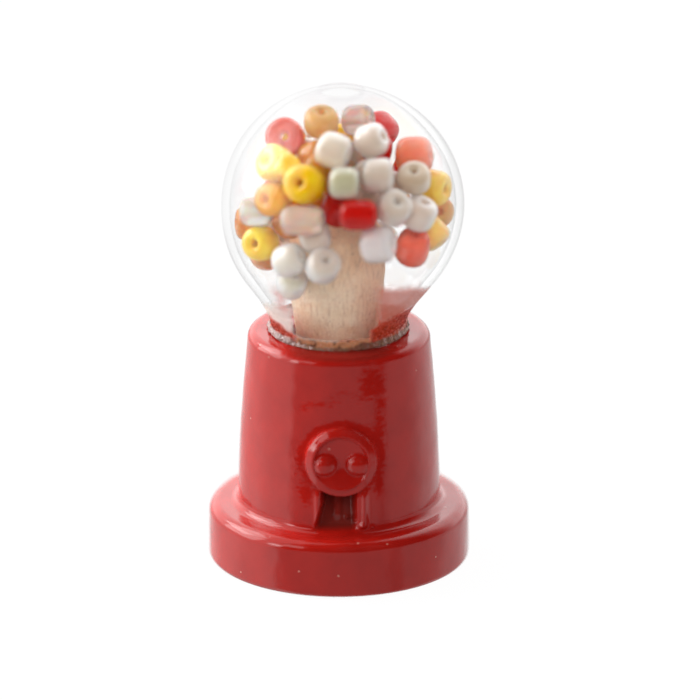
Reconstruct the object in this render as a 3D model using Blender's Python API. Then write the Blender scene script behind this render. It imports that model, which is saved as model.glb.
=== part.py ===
"""Miniature gumball machine: a painted casting, a blown-glass globe glued on top of it, a plug in the
globe's neck, and seed beads that stand for the gumballs. Metres, +Z up, origin at the centre of the
underside, front towards -Y. Nothing on it moves.
"""

import math
from collections import namedtuple

import bmesh
import bpy
import numpy as np
from mathutils import Matrix, Vector

MM = 0.001  # every dimension below is in millimetres

# ---------------------------------------------------------------- casting dimensions
FOOT_R = 8.0
FOOT_TOP_Z = 3.57
FOOT_EDGE = 0.8  # rounding of the foot's upper edge
FOOT_LOW_EDGE = 0.3  # rounding where the foot meets the table
FOOT_FLAT_R = 6.55  # inner end of the foot's flat ledge
# Tapered body, (radius, height), from the corner above the ledge up to the shoulder
BODY = (
    (6.32, 3.70), (6.25, 3.98), (6.22, 4.45), (6.20, 5.4), (6.18, 6.5),
    (6.08, 8.3), (5.97, 10.0), (5.82, 12.0), (5.69, 13.5),
)
TOP_Z = 14.75
TOP_FLAT_R = 4.85
SHOULDER = 0.8  # rounding between body and top
SHOULDER_START = 5  # degrees up from level where the rounding takes over from the body
# Blind socket in the casting's top, which takes the foot of the plug
SOCKET_R = 2.9
SOCKET_Z = 13.2

# Dial cast on the front: a dished disc with a raised rim and two round bumps
DIAL_Z = 8.25
DIAL_R = 2.2
DIAL_RIM = 0.44  # width of the rim
DIAL_FACE_Y = -6.16
DIAL_RIM_Y = -6.50
DIAL_ROOT = 1.2  # how far the disc reaches back into the body
BUMP_X = 1.03
BUMP_R = 0.74
BUMP_SINK = 0.18  # a bump's centre behind the dial's face

# Chute notch below the dial, its floor dropping towards the front
CHUTE_TOP_Z = 6.35
# (y, half width, floor height) at the back and at the mouth
CHUTE_ENDS = ((-5.05, 1.10, 4.40), (-7.0, 1.47, 3.93))
# Corners 0 to 3 are the back end and 4 to 7 the mouth, each from the lower -X corner round by +X
CHUTE_FACES = ((0, 1, 2, 3), (7, 6, 5, 4), (0, 4, 5, 1), (1, 5, 6, 2), (2, 6, 7, 3), (3, 7, 4, 0))

# ---------------------------------------------------------------- globe dimensions
# A sphere that runs into a flared neck, with a rimmed opening on top
GLOBE_Z = 22.75
GLOBE_R = 7.48
GLASS = 0.5
GLOBE_IN_R = GLOBE_R - GLASS
NECK_Z = 14.80
NECK_R = 4.10
NECK_GLASS = 0.45
# Flare of the neck, (radius, height), from the sphere down
NECK = ((5.02, 17.05), (4.72, 16.6), (4.38, 16.0), (4.18, 15.5))
NECK_IN_RISE = 0.06  # the inner flare sits this much above the outer one
NECK_END = 17.5  # height where the flare runs into the sphere
LIP_R = 1.36
LIP_TUBE = 0.22  # radius of the rim's rounded section
LIP_SINK = 0.02  # centre of that section below the sphere's surface
# The globe isn't quite round the casting's axis: (height, offset towards +X)
# at the neck, the middle and the top
OFFSET_AT = ((NECK_Z, -0.10), (GLOBE_Z, 0.28), (GLOBE_Z + GLOBE_R, 0.12))

# ---------------------------------------------------------------- plug and glue dimensions
# Foot in the socket, swelling above the casting, domed top at mid-globe: (radius, height)
PLUG = (
    (2.62, 13.26), (2.68, 14.8), (2.93, 16.6), (3.0, 18.5),
    (2.95, 20.4), (2.62, 21.5), (1.6, 22.25),
)
PLUG_TOP = 22.4
PLUG_X = -0.12

# Glue that squeezed out round the neck
GLUE_OUT = 0.30  # width of the ring
GLUE_H = 0.42  # height of the ring
GLUE_LIFT = 0.02  # above the neck's end
GLUE_GAP = 0.05  # between the ring and the neck
GLUE_FLARE = 0.36  # growth of the ring's inner radius per height, following the neck
GLUE_STEPS = 72
# Section of the ring, (share of the width outwards, share of the height upwards)
GLUE_SECTION = ((0.03, 0.03), (0.55, 0.03), (1.0, 0.0), (0.92, 0.35), (0.45, 0.85), (0.1, 1.0))

# ---------------------------------------------------------------- bead shape
HOLE = 0.30  # hole radius as a share of the outer radius
HOLE_SINK = 0.22  # ends of the hole below the bead's ends
END_RING = 0.68  # radius of the highest ring of an end, as a share of the outer radius
BARREL = 0.55  # share of the length that has the full radius

# Each bead of the front: glass, then where its centre sits as seen from the globe's centre (degrees
# round the axis from the front, positive towards +X; degrees up; distance), outer diameter, length,
# and where its hole points (degrees round, degrees up).
FRONT_BEADS = (
    ("red", -85, 51, 5.7, 2.45, 1.90, -10, 24),
    ("orange", -64, 74, 5.6, 2.10, 1.75, 0, 72),
    ("orange", -58, 61, 4.4, 2.15, 1.80, 60, 20),
    ("orange", -45, 50, 3.2, 2.15, 1.80, 40, 10),
    ("crystal", 110, 80, 5.5, 1.95, 1.90, 70, 10),
    ("red", 142, 48, 5.2, 2.45, 2.00, 45, -30),
    ("pearl", 38, 61, 5.7, 2.10, 1.90, 72, 24),
    ("pearl", -9, 53, 5.7, 2.25, 2.10, 72, -14),
    ("pearl", 36, 46, 4.0, 2.10, 1.90, 0, 30),
    ("red", 85, 38, 5.6, 2.25, 2.25, 80, 5),
    ("yellow", -62, 36, 5.8, 2.30, 1.95, -50, 30),
    ("yellow", -29, 30, 5.8, 2.50, 1.90, -26, 24),
    ("green", 1, 33, 5.75, 1.95, 1.90, 84, 0),
    ("pearl", 28, 35, 5.8, 2.05, 1.95, 84, 6),
    ("pearl", 58, 28, 5.8, 2.05, 1.60, 0, 62),
    ("yellow", 86, 13, 5.9, 2.20, 1.85, 60, 0),
    ("orange", -52, 18, 5.8, 2.10, 1.85, -40, 12),
    ("crystal", -66, 3, 5.8, 1.80, 2.05, 76, 4),
    ("orange", -92, -12, 5.9, 2.10, 1.80, -80, 0),
    ("crystal", -26, 8, 5.8, 1.85, 2.75, 80, 3),
    ("yellow", -66, -15, 5.8, 2.15, 2.00, -32, 15),
    ("orange", -84, -32, 5.6, 2.05, 1.80, 10, 30),
    ("orange", -60, -6, 4.2, 2.05, 1.80, 30, 50),
    ("red", 7, 16, 5.8, 1.90, 2.40, 88, 0),
    ("red", -8, 7, 4.3, 2.15, 1.90, 40, 60),
    ("pearl", 32, 15, 5.85, 2.15, 1.90, 30, 48),
    ("pearl", 54, 7, 5.8, 2.10, 2.00, 60, 66),
    ("orange", 96, -7, 5.9, 2.10, 1.80, 20, 20),
    ("orange", 76, -13, 5.9, 2.00, 1.95, 60, -40),
    ("white", 23, -6, 5.85, 2.30, 2.10, 70, 10),
    ("red", 54, -17, 5.5, 2.10, 2.30, 30, 70),
    ("pearl", -34, -17, 5.85, 2.05, 1.90, 66, 24),
    ("pearl", -14, -20, 5.85, 2.10, 1.90, 24, 50),
    ("pearl", -22, -5, 4.5, 2.05, 1.90, 84, 20),
    ("green", -48, -44, 5.8, 1.90, 1.75, 30, 60),
)
# Beads of the back: glass, degrees round, degrees up, distance
BACK_BEADS = (
    ("yellow", 188, 50, 4.4), ("pearl", 236, 46, 4.3), ("pearl", 118, 25, 5.7),
    ("orange", 157, 30, 5.8), ("pearl", 192, 37, 5.8), ("yellow", 226, 32, 5.7),
    ("red", 136, 8, 5.8), ("yellow", 164, 8, 5.8), ("pearl", 191, 13, 5.8),
    ("orange", 217, 9, 5.8), ("red", 246, -3, 4.6), ("pearl", 114, -14, 5.8),
    ("orange", 146, -15, 5.8), ("pearl", 176, -12, 5.8), ("red", 206, -14, 5.8),
    ("pearl", 236, -13, 5.8), ("yellow", 110, -37, 5.7), ("crystal", 150, -38, 5.8),
    ("yellow", 198, -37, 5.8), ("pearl", 244, -36, 5.8),
)
# The back beads' diameters and hole directions vary by rule, with these means and swings
BACK_WIDE = 2.1
BACK_WIDE_SWING = 0.12
BACK_LONG = 1.9
BACK_HOLE_TURN = 137.5  # degrees round from one bead's hole to the next
BACK_HOLE_TILT = 70  # largest tilt of a hole, in degrees

GLASSES = {  # base colour, roughness, alpha
    "red": ((0.62, 0.02, 0.015), 0.12, 0.9),
    "orange": ((0.85, 0.26, 0.03), 0.15, 0.9),
    "yellow": ((0.90, 0.62, 0.03), 0.2, 1.0),
    "pearl": ((0.80, 0.73, 0.69), 0.25, 1.0),
    "white": ((0.84, 0.80, 0.82), 0.3, 1.0),
    "crystal": ((0.85, 0.72, 0.68), 0.08, 0.6),
    "green": ((0.66, 0.72, 0.58), 0.2, 1.0),
}

# ---------------------------------------------------------------- how the beads settle
POWER = 3.2  # roundness of the section that stands for a bead while settling
BEAD_GAP = 0.03
WALL_GAP = 0.12  # between a bead and the inside of the glass
PLUG_GAP = 0.06  # between a bead and the plug's side
PLUG_RISE = 0.05  # the plug counts as this much taller
PLUG_REACH = 1.3  # only beads centred less than this above the plug's top are pushed off it
NEAR = 3.4  # beads with centres further apart than this can't touch
INNER_DISTANCE = 4.25  # front beads up to this far from the globe's centre are inner ones
# How freely a bead moves: the inner ones give way to the outer ones
FIRM, BACK_LOOSE, INNER_LOOSE = 0.1, 0.5, 1.0
FIRM_PULL = 0.05  # share of the way back to its place a firm bead is pulled each turn
LOOSE_PULL = 0.008  # the same for the others
PUSH_SHARE = 0.6  # share of an overlap undone each turn
PULL_TURNS = 500
MAX_TURNS = 900
TOLERANCE = 0.004  # largest overlap left when settling stops early

# Lump of hidden beads
LUMP_RISE = 1.75  # its middle above the globe's centre
LUMP_R = 3.9
LUMP_MIN_R = 0.6
LUMP_GAP = 0.12

Bead = namedtuple("Bead", "glass centre wide long axis looseness")


# ---------------------------------------------------------------- helpers
def clear_scene():
    for obj in list(bpy.data.objects):
        bpy.data.objects.remove(obj, do_unlink=True)
    for mesh in list(bpy.data.meshes):
        bpy.data.meshes.remove(mesh)


def material(name, color, roughness, alpha=1.0, transmission=0.0):
    made = bpy.data.materials.new(name)
    made.use_nodes = True
    shader = made.node_tree.nodes["Principled BSDF"]
    shader.inputs["Base Color"].default_value = (*color, 1.0)
    shader.inputs["Roughness"].default_value = roughness
    shader.inputs["Alpha"].default_value = alpha
    shader.inputs["Transmission Weight"].default_value = transmission
    made.diffuse_color = (*color, alpha)
    return made


def object_from(bm, name, mat=None):
    """A smooth-shaded object of the bmesh. Without a material it is a hidden helper."""
    bmesh.ops.recalc_face_normals(bm, faces=bm.faces)
    mesh = bpy.data.meshes.new(name)
    bm.to_mesh(mesh)
    bm.free()
    mesh.shade_smooth()
    mesh.set_sharp_from_angle(angle=math.radians(40))
    obj = bpy.data.objects.new(name, mesh)
    bpy.context.scene.collection.objects.link(obj)
    if mat:
        mesh.materials.append(mat)
    else:
        obj.hide_render = True
        obj.display_type = "WIRE"
    return obj


def lathe(profile, steps, closed=False):
    """A bmesh of the (radius, height) profile turned round Z. An open profile ends on the axis."""
    bm = bmesh.new()
    points = [bm.verts.new((r * MM, 0, z * MM)) for r, z in profile]
    pairs = list(zip(points, points[1:]))
    if closed:
        pairs.append((points[-1], points[0]))
    edges = [bm.edges.new(pair) for pair in pairs]
    bmesh.ops.spin(
        bm,
        geom=points + edges,
        cent=(0, 0, 0),
        axis=(0, 0, 1),
        angle=math.tau,
        steps=steps,
        use_merge=True,
    )
    bmesh.ops.remove_doubles(bm, verts=bm.verts, dist=1e-7)
    return bm


def arc(centre, radius, start, end, count):
    """Points of an arc in the (radius, height) plane, degrees from the outward direction."""
    turns = [math.radians(start + (end - start) * i / (count - 1)) for i in range(count)]
    return [(centre[0] + radius * math.cos(t), centre[1] + radius * math.sin(t)) for t in turns]


def boolean(obj, other, operation):
    mod = obj.modifiers.new(f"{operation.lower()}_{other.name}", "BOOLEAN")
    mod.operation = operation
    mod.solver = "EXACT"
    mod.object = other


def direction(around, up):
    """Unit vector from degrees round the axis, from the front towards +X, and degrees up."""
    a, u = math.radians(around), math.radians(up)
    return np.array((math.sin(a) * math.cos(u), -math.cos(a) * math.cos(u), math.sin(u)))


def globe_offset(z):
    """Sideways offset of the globe at one height or an array of heights."""
    return np.interp(z, *zip(*OFFSET_AT))


def globe_centre():
    return np.array((globe_offset(GLOBE_Z), 0, GLOBE_Z))


# ---------------------------------------------------------------- casting
def casting_profile():
    profile = [(0, 0)]
    profile += arc((FOOT_R - FOOT_LOW_EDGE, FOOT_LOW_EDGE), FOOT_LOW_EDGE, -90, 0, 3)
    profile += arc((FOOT_R - FOOT_EDGE, FOOT_TOP_Z - FOOT_EDGE), FOOT_EDGE, 0, 90, 5)
    profile += [(FOOT_FLAT_R, FOOT_TOP_Z), *BODY]
    profile += arc((TOP_FLAT_R, TOP_Z - SHOULDER), SHOULDER, SHOULDER_START, 90, 5)
    profile += [(SOCKET_R, TOP_Z), (SOCKET_R, SOCKET_Z), (0, SOCKET_Z)]
    return profile


def build_dial_form():
    """The disc, turned round Z with its face at height 0 and then tipped to face the front."""
    rim_in = DIAL_R - DIAL_RIM
    rim_height = DIAL_FACE_Y - DIAL_RIM_Y
    profile = [
        (0, -DIAL_ROOT),
        (DIAL_R + 0.12, -DIAL_ROOT),  # the side tapers outwards
        (DIAL_R, 0.16),
        (DIAL_R - 0.1, rim_height - 0.03),  # rounded crest of the rim
        (DIAL_R - DIAL_RIM / 2, rim_height),
        (rim_in + 0.06, rim_height - 0.08),
        (rim_in - 0.12, 0.05),  # dished face
        (0, 0),
    ]
    bm = lathe(profile, 32)
    tip = Matrix.Rotation(math.pi / 2, 3, "X")
    bmesh.ops.rotate(bm, verts=bm.verts, cent=(0, 0, 0), matrix=tip)
    dial = object_from(bm, "dial_form")
    dial.location = (0, DIAL_FACE_Y * MM, DIAL_Z * MM)
    return dial


def build_bump_form(side, x):
    bm = bmesh.new()
    bmesh.ops.create_icosphere(bm, subdivisions=2, radius=BUMP_R * MM)
    bump = object_from(bm, f"bump_form_{side}")
    bump.location = (x * MM, (DIAL_FACE_Y + BUMP_SINK) * MM, DIAL_Z * MM)
    return bump


def build_chute_cutter():
    """A wedge-floored block, wider at the mouth than at the back."""
    bm = bmesh.new()
    corners = []
    for y, half, floor in CHUTE_ENDS:
        for x, z in ((-half, floor), (half, floor), (half, CHUTE_TOP_Z), (-half, CHUTE_TOP_Z)):
            corners.append(bm.verts.new((x * MM, y * MM, z * MM)))
    for face in CHUTE_FACES:
        bm.faces.new([corners[i] for i in face])
    return object_from(bm, "chute_cutter")


def build_pedestal(mat):
    pedestal = object_from(lathe(casting_profile(), 56), "pedestal", mat)
    boolean(pedestal, build_dial_form(), "UNION")
    for side, x in (("left", -BUMP_X), ("right", BUMP_X)):
        boolean(pedestal, build_bump_form(side, x), "UNION")
    boolean(pedestal, build_chute_cutter(), "DIFFERENCE")


# ---------------------------------------------------------------- globe
def sphere_arc(radius, start, end, count):
    """Points on a sphere round the globe's centre, angles in radians up from level."""
    return [
        (radius * math.cos(a), GLOBE_Z + radius * math.sin(a))
        for a in np.linspace(start, end, count)
    ]


def globe_profile():
    """Closed loop of the glass: down the outside, round the neck's end, up the inside."""
    outer_join = math.asin((GLOBE_Z - NECK_END) / GLOBE_R)
    inner_join = math.asin((GLOBE_Z - NECK_END) / GLOBE_IN_R)
    # The two spheres end inside the rim's section.
    outer_lip = math.acos((LIP_R + LIP_TUBE * 0.7) / GLOBE_R)
    inner_lip = math.acos((LIP_R - LIP_TUBE * 0.6) / GLOBE_IN_R)
    outer = sphere_arc(GLOBE_R, outer_lip, -outer_join, 15)
    neck_out = [*NECK, (NECK_R, NECK_Z)]
    neck_in = [(NECK_R - NECK_GLASS, NECK_Z)]
    neck_in += [(r - NECK_GLASS, z + NECK_IN_RISE) for r, z in reversed(NECK)]
    inner = sphere_arc(GLOBE_IN_R, -inner_join, inner_lip, 14)
    lip_z = GLOBE_Z + math.sqrt(GLOBE_R**2 - LIP_R**2) - LIP_SINK
    rim = arc((LIP_R, lip_z), LIP_TUBE, 190, 20, 5)
    return outer + neck_out + neck_in + inner + rim


def build_globe(mat):
    bm = lathe(globe_profile(), 40, closed=True)
    for vert in bm.verts:
        vert.co.x += globe_offset(vert.co.z / MM) * MM
    object_from(bm, "glass_globe", mat)


# ---------------------------------------------------------------- plug and glue
def build_plug(mat):
    profile = [(0, PLUG[0][1]), *PLUG, (0, PLUG_TOP)]
    plug = object_from(lathe(profile, 28), "neck_plug", mat)
    plug.location.x = PLUG_X * MM


def glue_swell(turn):
    """Uneven size of the glue's section round the neck, about 1."""
    return 1 + 0.22 * math.sin(5 * turn + 0.6) * math.cos(3 * turn) + 0.16 * math.sin(11 * turn)


def build_glue(mat):
    """A ring round the neck whose section swells and shrinks as it goes round."""
    bm = bmesh.new()
    rings = []
    for i in range(GLUE_STEPS):
        turn = math.tau * i / GLUE_STEPS
        swell = glue_swell(turn)
        ring = []
        for out, up in GLUE_SECTION:
            z = NECK_Z + GLUE_LIFT + up * GLUE_H * swell
            inner = NECK_R + GLUE_GAP + (z - NECK_Z) * GLUE_FLARE
            r = inner + out * GLUE_OUT * swell
            x = r * math.sin(turn) + globe_offset(NECK_Z)
            ring.append(bm.verts.new((x * MM, -r * math.cos(turn) * MM, z * MM)))
        rings.append(ring)
    for ring, after in zip(rings, rings[1:] + rings[:1]):
        for i in range(len(GLUE_SECTION)):
            j = (i + 1) % len(GLUE_SECTION)
            bm.faces.new((ring[i], ring[j], after[j], after[i]))
    object_from(bm, "glue_ring", mat)


# ---------------------------------------------------------------- beads
def bead_table():
    """Every bead at its wanted place, before settling."""
    middle = globe_centre()
    beads = []
    for glass, around, up, distance, wide, long, hole_around, hole_up in FRONT_BEADS:
        centre = middle + distance * direction(around, up)
        looseness = FIRM if distance > INNER_DISTANCE else INNER_LOOSE
        axis = direction(hole_around, hole_up)
        beads.append(Bead(glass, centre, wide, long, axis, looseness))
    for count, (glass, around, up, distance) in enumerate(BACK_BEADS, 1):
        centre = middle + distance * direction(around, up)
        wide = BACK_WIDE + BACK_WIDE_SWING * math.sin(1.7 * count)
        axis = direction(BACK_HOLE_TURN * count, BACK_HOLE_TILT * math.sin(2.4 * count))
        beads.append(Bead(glass, centre, wide, BACK_LONG, axis, BACK_LOOSE))
    return beads


def plug_radius(z):
    heights = [height for _, height in PLUG] + [PLUG_TOP]
    radii = [radius for radius, _ in PLUG] + [0.0]
    return np.interp(z, heights, radii)


def skin_points(radius, half, axes):
    """Sample points on each bead's skin, relative to its centre: (bead, sample, xyz)."""
    side = np.cross(axes, (0.31, 0.52, 0.80))  # any direction that no hole points in
    side /= np.linalg.norm(side, axis=1, keepdims=True)
    other = np.cross(axes, side)
    unit = []
    for t in np.linspace(0, math.tau, 14, endpoint=False):
        for s in np.radians((-90, -65, -45, -25, 0, 25, 45, 65, 90)):
            grow = (abs(math.cos(s)) ** POWER + abs(math.sin(s)) ** POWER) ** (-1 / POWER)
            level = math.cos(s) * grow
            unit.append(
                (math.cos(t) * math.cos(s) * grow, math.sin(t) * level, math.sin(s) * grow)
                if False
                else (
                    math.cos(t) * math.cos(s) * grow,
                    math.sin(t) * math.cos(s) * grow,
                    math.sin(s) * grow,
                )
            )
    unit = np.array(unit)
    return (
        unit[None, :, 0:1] * radius[:, None, None] * side[:, None, :]
        + unit[None, :, 1:2] * radius[:, None, None] * other[:, None, :]
        + unit[None, :, 2:3] * half[:, None, None] * axes[:, None, :]
    )


def push_apart(centres, skin, radius, half, axes, looseness):
    """Moves the centres so that beads overlap less. Returns the deepest overlap."""
    push = np.zeros_like(centres)
    worst = 0.0
    count = len(centres)
    for j in range(count):
        near = [
            i for i in range(count) if i != j and np.linalg.norm(centres[i] - centres[j]) < NEAR
        ]
        if not near:
            continue
        points = centres[near][:, None, :] + skin[near] - centres[j]
        along = points @ axes[j]
        around = np.sqrt(np.maximum((points**2).sum(axis=2) - along**2, 0))
        # Below 1 inside bead j, above 1 outside it
        level = ((around / radius[j]) ** POWER + (abs(along) / half[j]) ** POWER) ** (1 / POWER)
        depths = BEAD_GAP - (level.min(axis=1) - 1) * min(radius[j], half[j])
        for i, depth in zip(near, depths):
            if depth > 0:
                worst = max(worst, depth)
                away = centres[i] - centres[j]
                away = away / np.linalg.norm(away)
                share = looseness[i] / (looseness[i] + looseness[j])
                push[i] += away * depth * share * PUSH_SHARE
                push[j] -= away * depth * (1 - share) * PUSH_SHARE
    centres += push
    return worst


def push_off_walls(centres, skin):
    """Moves the centres off the glass and the plug. Returns the deepest overlap."""
    middle = globe_centre()
    points = centres[:, None, :] + skin
    from_middle = points - middle
    from_middle[..., 0] = points[..., 0] - globe_offset(points[..., 2])
    into_glass = np.linalg.norm(from_middle, axis=2).max(axis=1) - (GLOBE_R - GLASS - WALL_GAP)
    outwards = centres - middle
    outwards /= np.linalg.norm(outwards, axis=1, keepdims=True)
    centres -= outwards * np.maximum(into_glass, 0)[:, None]

    from_plug = np.hypot(points[..., 0] - PLUG_X, points[..., 1])
    into_plug = (plug_radius(points[..., 2] - PLUG_RISE) + PLUG_GAP - from_plug).max(axis=1)
    sideways = centres - np.array((PLUG_X, 0, 0))
    sideways[:, 2] = 0
    sideways /= np.maximum(np.linalg.norm(sideways, axis=1, keepdims=True), 1e-6)
    low = centres[:, 2] < PLUG_TOP + PLUG_REACH
    into_plug = np.where(low, np.maximum(into_plug, 0), 0)
    centres += sideways * into_plug[:, None]
    return max(into_glass.max(), into_plug.max())


def settle(beads):
    """Centres moved until no two beads touch, and none touches the glass or the plug."""
    anchors = np.array([bead.centre for bead in beads])
    centres = anchors.copy()
    radius = np.array([bead.wide for bead in beads]) / 2
    half = np.array([bead.long for bead in beads]) / 2
    axes = np.array([bead.axis for bead in beads])
    looseness = np.array([bead.looseness for bead in beads])
    skin = skin_points(radius, half, axes)
    pull = np.where(looseness == FIRM, FIRM_PULL, LOOSE_PULL)[:, None]
    for turn in range(MAX_TURNS):
        if turn < PULL_TURNS:
            centres += pull * (anchors - centres)
        between_beads = push_apart(centres, skin, radius, half, axes, looseness)
        at_walls = push_off_walls(centres, skin)
        if turn > PULL_TURNS and max(between_beads, at_walls) < TOLERANCE:
            break
    return centres


def bead_mesh(wide, long):
    """A short tube with rounded ends and a hole through it."""
    r, h = wide / 2, long / 2
    hole = r * HOLE
    profile = [
        (hole, -h + HOLE_SINK),
        (r * END_RING, -h),
        (r, -h * BARREL),
        (r, h * BARREL),
        (r * END_RING, h),
        (hole, h - HOLE_SINK),
    ]
    return lathe(profile, 10, closed=True)


def build_beads(beads, centres, mats):
    counts = dict.fromkeys(mats, 0)
    for bead, centre in zip(beads, centres):
        glass = bead.glass
        counts[glass] += 1
        name = f"bead_{glass}_{counts[glass]:02d}"
        obj = object_from(bead_mesh(bead.wide, bead.long), name, mats[glass])
        obj.rotation_mode = "QUATERNION"
        obj.rotation_quaternion = Vector((0, 0, 1)).rotation_difference(Vector(bead.axis))
        obj.location = Vector(centre) * MM


def build_inner(beads, centres, mat):
    """The hidden beads in the middle as one lump, dented where an outer bead presses on it."""
    middle = globe_centre() + (0, 0, LUMP_RISE)
    bm = bmesh.new()
    bmesh.ops.create_icosphere(bm, subdivisions=3, radius=1)
    for vert in bm.verts:
        way = np.array(vert.co.normalized())
        reach = LUMP_R
        for bead, centre in zip(beads, centres):
            ball = math.hypot(bead.wide / 2, bead.long / 2) + LUMP_GAP
            along = (centre - middle) @ way
            off_squared = ((centre - middle) ** 2).sum() - along**2
            if along > 0 and off_squared < ball**2:
                reach = min(reach, along - math.sqrt(ball**2 - off_squared))
        # Stays above the plug's dome.
        if way[2] < -0.05:
            reach = min(reach, (middle[2] - PLUG_TOP - LUMP_GAP) / -way[2])
        vert.co = Vector(middle + way * max(reach, LUMP_MIN_R)) * MM
    object_from(bm, "inner_beads", mat)


def bead_materials():
    return {
        glass: material(f"{glass}_bead", color, roughness, alpha=alpha)
        for glass, (color, roughness, alpha) in GLASSES.items()
    }


def main():
    clear_scene()
    bpy.context.scene.unit_settings.system = "METRIC"
    bpy.context.scene.unit_settings.scale_length = 1.0
    build_pedestal(material("red_enamel", color=(0.42, 0.025, 0.018), roughness=0.18))
    build_globe(
        material(
            "clear_glass", color=(1.0, 1.0, 1.0), roughness=0.02, alpha=0.25, transmission=1.0
        )
    )
    build_plug(material("cream_plug", color=(0.62, 0.48, 0.34), roughness=0.7))
    build_glue(material("clear_glue", color=(0.55, 0.45, 0.42), roughness=0.35))
    mats = bead_materials()
    beads = bead_table()
    centres = settle(beads)
    build_beads(beads, centres, mats)
    build_inner(beads, centres, mats["pearl"])


main()
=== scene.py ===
"""Miniature gumball machine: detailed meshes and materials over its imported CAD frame.

It stands on z = 0 with its axis on Z. The front faces -Y and the right side is +X. A red enamelled
casting carries a glass globe of beads, which has a cream plug and a ring of glue at its neck.
Lengths are in millimetres and are scaled by MM where they go to Blender.
"""

import math

import bpy
import numpy as np
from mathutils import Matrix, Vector, noise
from mathutils.bvhtree import BVHTree


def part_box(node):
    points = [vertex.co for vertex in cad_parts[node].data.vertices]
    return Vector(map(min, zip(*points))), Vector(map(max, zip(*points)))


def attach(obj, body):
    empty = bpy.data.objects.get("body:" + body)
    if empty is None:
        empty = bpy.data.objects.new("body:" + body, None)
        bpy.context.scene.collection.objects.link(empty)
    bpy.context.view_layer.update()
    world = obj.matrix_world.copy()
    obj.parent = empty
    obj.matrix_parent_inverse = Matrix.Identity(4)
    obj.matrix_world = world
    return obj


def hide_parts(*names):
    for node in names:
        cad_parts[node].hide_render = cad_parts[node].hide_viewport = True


MM = 0.001  # one millimetre in metres

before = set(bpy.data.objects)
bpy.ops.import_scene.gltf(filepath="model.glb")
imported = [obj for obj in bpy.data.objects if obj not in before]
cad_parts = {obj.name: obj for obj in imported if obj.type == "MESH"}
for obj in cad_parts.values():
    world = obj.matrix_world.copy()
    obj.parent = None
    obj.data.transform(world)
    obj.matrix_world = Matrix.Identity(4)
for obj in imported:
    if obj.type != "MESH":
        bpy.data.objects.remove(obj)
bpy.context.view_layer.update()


def box_mm(piece):
    """Low and high corners of a CAD piece."""
    return tuple(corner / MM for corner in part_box(piece))


# ================================================================ driving sizes
CASTING_HIGH = box_mm("pedestal")[1]
FOOT_R = CASTING_HIGH.x
TOP_Z = CASTING_HIGH.z
FOOT_TOP = 0.242 * TOP_Z
DIAL_Z = 0.5593 * TOP_Z  # the dial's centre, which isn't quite in the middle
DIAL_X = 0.14
CREST_R, RIM_R = 1.74, 2.17  # radii of the crest and the outer edge of the dial's rim
CREST_OUT = 6.50  # distance of the crest from the axis plane
RIB_LEFT, RIB_RIGHT = -1.30, 1.58  # places across of the ribs beside the chute

globe_low, globe_high = box_mm("glass_globe")
GLOBE_R = (globe_high.y - globe_low.y) / 2
SHELL_R = GLOBE_R - 0.01  # outside of the glass
NECK_Z = globe_low.z
GLOBE_TOP = globe_high.z
GLOBE_Z = GLOBE_TOP - 7.55
NECK_JOIN = 18.4  # height where the flare of the neck becomes the sphere
NECK_R = 4.10  # at the foot of the neck
WALL = 0.5
GLUE_FOOT_TOP = 15.14  # height where the glue's gritty foot gives way to film


# ================================================================ mesh helpers
def mesh_object(name, verts, faces, *mats, smooth=True):
    """An object from points and faces of any size."""
    mesh = bpy.data.meshes.new(name)
    metres = (np.asarray(verts, dtype=np.float64) * MM).tolist()
    mesh.from_pydata(metres, [], [list(map(int, face)) for face in faces])
    mesh.update()
    if smooth:
        mesh.polygons.foreach_set("use_smooth", [True] * len(mesh.polygons))
    for mat in mats:
        mesh.materials.append(mat)
    obj = bpy.data.objects.new(name, mesh)
    bpy.context.scene.collection.objects.link(obj)
    return obj


def stand_in(obj, piece):
    """Put an object in the place of a CAD piece."""
    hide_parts(piece)
    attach(obj, "root")


def ring_faces(rows, cols, close_rows=False, flip=False):
    """Quads of a rows x cols grid of points that is closed across its columns."""
    faces = []
    for i in range(rows if close_rows else rows - 1):
        near, far = i * cols, ((i + 1) % rows) * cols
        for j in range(cols):
            k = (j + 1) % cols
            quad = (near + j, near + k, far + k, far + j)
            faces.append(quad[::-1] if flip else quad)
    return faces


def end_caps(rows, cols):
    """The two faces that close the first and last rows of such a grid."""
    last = (rows - 1) * cols
    return [tuple(range(cols - 1, -1, -1)), tuple(range(last, last + cols))]


def rise(value, low, high):
    """Smooth step from 0 at low to 1 at high."""
    part = np.clip((value - low) / (high - low), 0, 1)
    return part * part * (3 - 2 * part)


def fall(value, low, high):
    return 1 - rise(value, low, high)


def bell(value, middle, wide):
    return np.exp(-(((value - middle) / wide) ** 2))


def hump(x, z, at_x, at_z, wide, tall):
    return np.exp(-(((x - at_x) / wide) ** 2) - ((z - at_z) / tall) ** 2)


def soft_max(a, b, fillet):
    """Larger of two heights, with a fillet about this wide where they cross."""
    share = np.clip(0.5 + 0.5 * (a - b) / fillet, 0, 1)
    return b * (1 - share) + a * share + fillet * share * (1 - share)


def soft_min(a, b, fillet):
    return -soft_max(-a, -b, fillet)


def ripple(points, size, seed):
    """Smooth noise in about -1 to 1 at each point, with lumps about `size` across."""
    shift = Vector((seed * 17.3, seed * 5.1, seed * 9.7))
    return np.array([noise.noise(Vector(point) / size + shift) for point in points])


def grid_ripple(x, y, z, size, seed):
    """The same over grids of coordinates."""
    return ripple(np.stack((x, y, z), axis=-1).reshape(-1, 3), size, seed).reshape(x.shape)


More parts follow.
